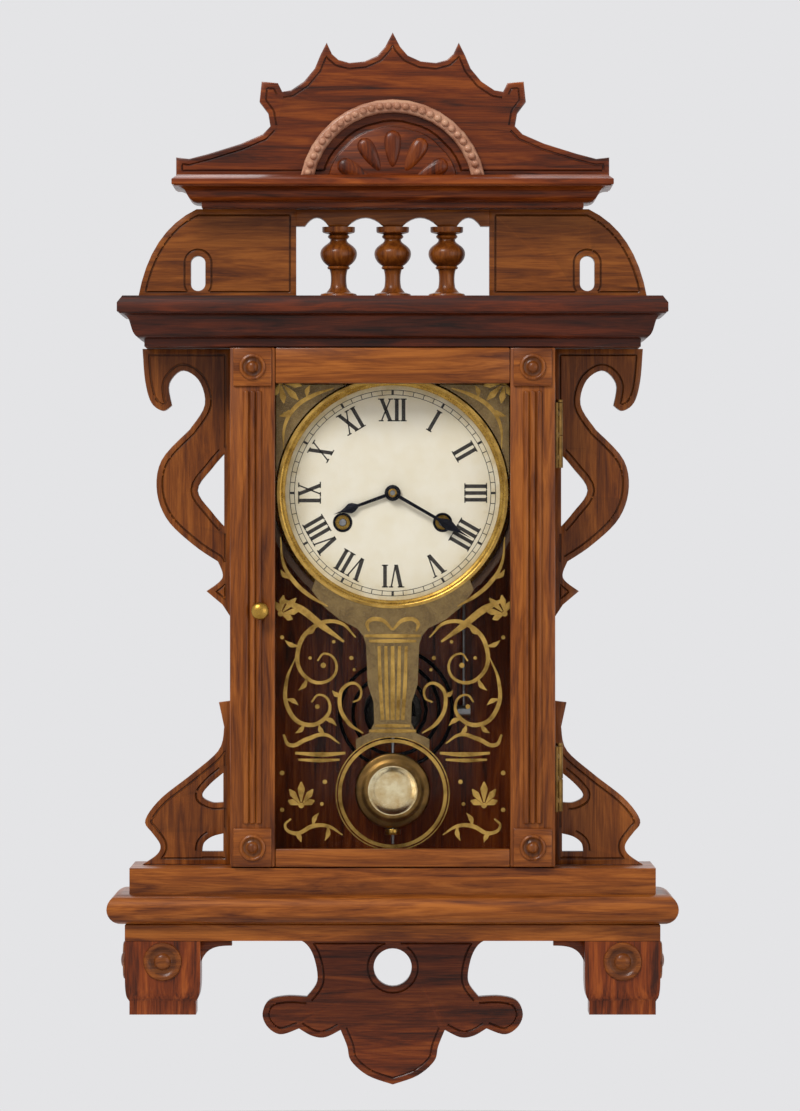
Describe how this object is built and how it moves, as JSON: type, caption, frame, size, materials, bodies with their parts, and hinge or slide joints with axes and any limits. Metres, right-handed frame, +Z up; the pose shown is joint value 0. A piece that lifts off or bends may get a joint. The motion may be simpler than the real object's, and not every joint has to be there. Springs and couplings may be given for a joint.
{
  "type": "hanging kitchen clock",
  "caption": "Ornate wooden hanging clock with spiked crest, spindle gallery, side scrolls, a hinged glazed door over a round dial, and a striking spring movement with a pendulum.",
  "frame": {"origin": "on the wall face of the backboard, straight behind the hand arbor", "axes": "+X to the viewer's right, +Y towards the wall, +Z up"},
  "size_m": [0.386, 0.1292, 0.719],
  "materials": {
    "walnut": "varnished walnut, satin gloss",
    "dark_walnut": "dark stained walnut, satin",
    "deal": "plain deal, unvarnished",
    "brass": "lacquered brass",
    "steel": "turned steel",
    "blued_steel": "blackened spring steel",
    "iron": "japanned cast iron",
    "dial_paper": "sheet zinc with a printed paper face, matt",
    "glass": "clear glass with a gilt tablet"
  },
  "bodies": {
    "case": {"backboard": "deal", "hanger_plate": "brass", "side_board_left": "walnut", "side_board_right": "walnut", "lower_cornice": "walnut", "upper_cornice": "walnut", "base_moulding": "walnut", "corner_block_left": "dark_walnut", "corner_block_right": "dark_walnut", "gallery_shoulder_left": "walnut", "gallery_shoulder_right": "walnut", "gallery_spindle_1": "walnut", "gallery_spindle_2": "walnut", "gallery_spindle_3": "walnut", "gallery_rail": "walnut", "crest_board": "dark_walnut", "crest_arch_bead": "walnut", "ear_left": "walnut", "ear_right": "walnut", "wing_left": "walnut", "wing_right": "walnut", "apron": "dark_walnut", "hinge_case_leaf_upper": "brass", "hinge_case_leaf_lower": "brass", "hinge_pin_upper": "brass", "hinge_pin_lower": "brass", "latch_keeper": "brass", "dial_pan": "dial_paper", "dial_bezel": "brass", "movement_back_plate": "brass", "movement_front_plate": "brass", "time_mainspring": "blued_steel", "strike_mainspring": "blued_steel", "gong_base": "iron", "gong_coil": "blued_steel"},
    "door": {"door_stile_left": "walnut", "door_stile_right": "walnut", "door_rail_top": "walnut", "door_rail_bottom": "walnut", "door_glass": "glass", "hinge_door_leaf_upper": "brass", "hinge_door_leaf_lower": "brass"},
    "latch": {"latch_knob": "brass"},
    "minute": {"minute_arbor": "steel", "minute_hand": "blued_steel", "hand_nut": "brass"},
    "minute_wheel": {"minute_wheel": "brass"},
    "hour": {"hour_wheel": "brass", "hour_hand": "blued_steel"},
    "escape": {"escape_wheel": "brass"},
    "third": {"third_wheel": "brass"},
    "centre": {"centre_wheel": "brass"},
    "great": {"time_great_wheel": "brass"},
    "verge": {"verge_crutch": "steel"},
    "pendulum": {"pendulum_rod": "steel"},
    "bob": {"pendulum_bob": "brass", "rating_nut": "brass"},
    "time_winder": {"time_arbor": "steel"},
    "strike_winder": {"strike_arbor": "steel"},
    "hammer": {"strike_hammer": "steel"}
  },
  "joints": [
    {"name": "door_hinge", "type": "hinge", "parent": "case", "child": "door", "pos_m": [0.113, -0.09705, 0], "axis": [0, 0, 1], "range_deg": [0, 110]},
    {"name": "latch_turn", "type": "hinge", "parent": "door", "child": "latch", "pos_m": [-0.0895, -0.106, -0.08], "axis": [0, -1, 0], "range_deg": [0, 90]},
    {"name": "minute_hand_turn", "type": "hinge", "parent": "case", "child": "minute", "pos_m": [0, -0.085, 0], "axis": [0, 1, 0], "continuous": true},
    {"name": "minute_wheel_turn", "type": "hinge", "parent": "case", "child": "minute_wheel", "pos_m": [0.0075, -0.079, -0.01299], "axis": [0, 1, 0], "continuous": true},
    {"name": "hour_hand_turn", "type": "hinge", "parent": "case", "child": "hour", "pos_m": [0, -0.085, 0], "axis": [0, 1, 0], "continuous": true},
    {"name": "escape_turn", "type": "hinge", "parent": "case", "child": "escape", "pos_m": [0, -0.06, 0.03299], "axis": [0, 1, 0], "continuous": true},
    {"name": "third_turn", "type": "hinge", "parent": "case", "child": "third", "pos_m": [-0.00843, -0.06, 0.01691], "axis": [0, 1, 0], "continuous": true},
    {"name": "centre_turn", "type": "hinge", "parent": "case", "child": "centre", "pos_m": [0, -0.06, 0], "axis": [0, 1, 0], "continuous": true},
    {"name": "great_turn", "type": "hinge", "parent": "case", "child": "great", "pos_m": [0.034, -0.05, -0.02], "axis": [0, 1, 0], "continuous": true},
    {"name": "pendulum_swing", "type": "hinge", "parent": "case", "child": "pendulum", "pos_m": [0, -0.0363, 0.05799], "axis": [0, 1, 0], "range_deg": [-6, 6]},
    {"name": "verge_swing", "type": "hinge", "parent": "case", "child": "verge", "pos_m": [0, -0.06, 0.05799], "axis": [0, 1, 0], "range_deg": [-6, 6]},
    {"name": "bob_rating", "type": "slide", "parent": "pendulum", "child": "bob", "axis": [0, 0, 1], "range_m": [-0.005, 0.005]},
    {"name": "time_winding", "type": "hinge", "parent": "case", "child": "time_winder", "pos_m": [0.034, -0.066, -0.02], "axis": [0, 1, 0], "continuous": true},
    {"name": "strike_winding", "type": "hinge", "parent": "case", "child": "strike_winder", "pos_m": [-0.034, -0.066, -0.02], "axis": [0, 1, 0], "continuous": true},
    {"name": "hammer_lift", "type": "hinge", "parent": "case", "child": "hammer", "pos_m": [0.049, -0.03, -0.042], "axis": [0, -1, 0], "range_deg": [0, 14]}
  ],
  "couplings": [
    {"joint": "minute_wheel_turn", "follows": "minute_hand_turn", "ratio": -0.33333},
    {"joint": "hour_hand_turn", "follows": "minute_hand_turn", "ratio": 0.083333},
    {"joint": "third_turn", "follows": "escape_turn", "ratio": -0.1},
    {"joint": "centre_turn", "follows": "escape_turn", "ratio": 0.0125},
    {"joint": "great_turn", "follows": "escape_turn", "ratio": -0.0039062},
    {"joint": "verge_swing", "follows": "pendulum_swing", "ratio": 1}
  ]
}
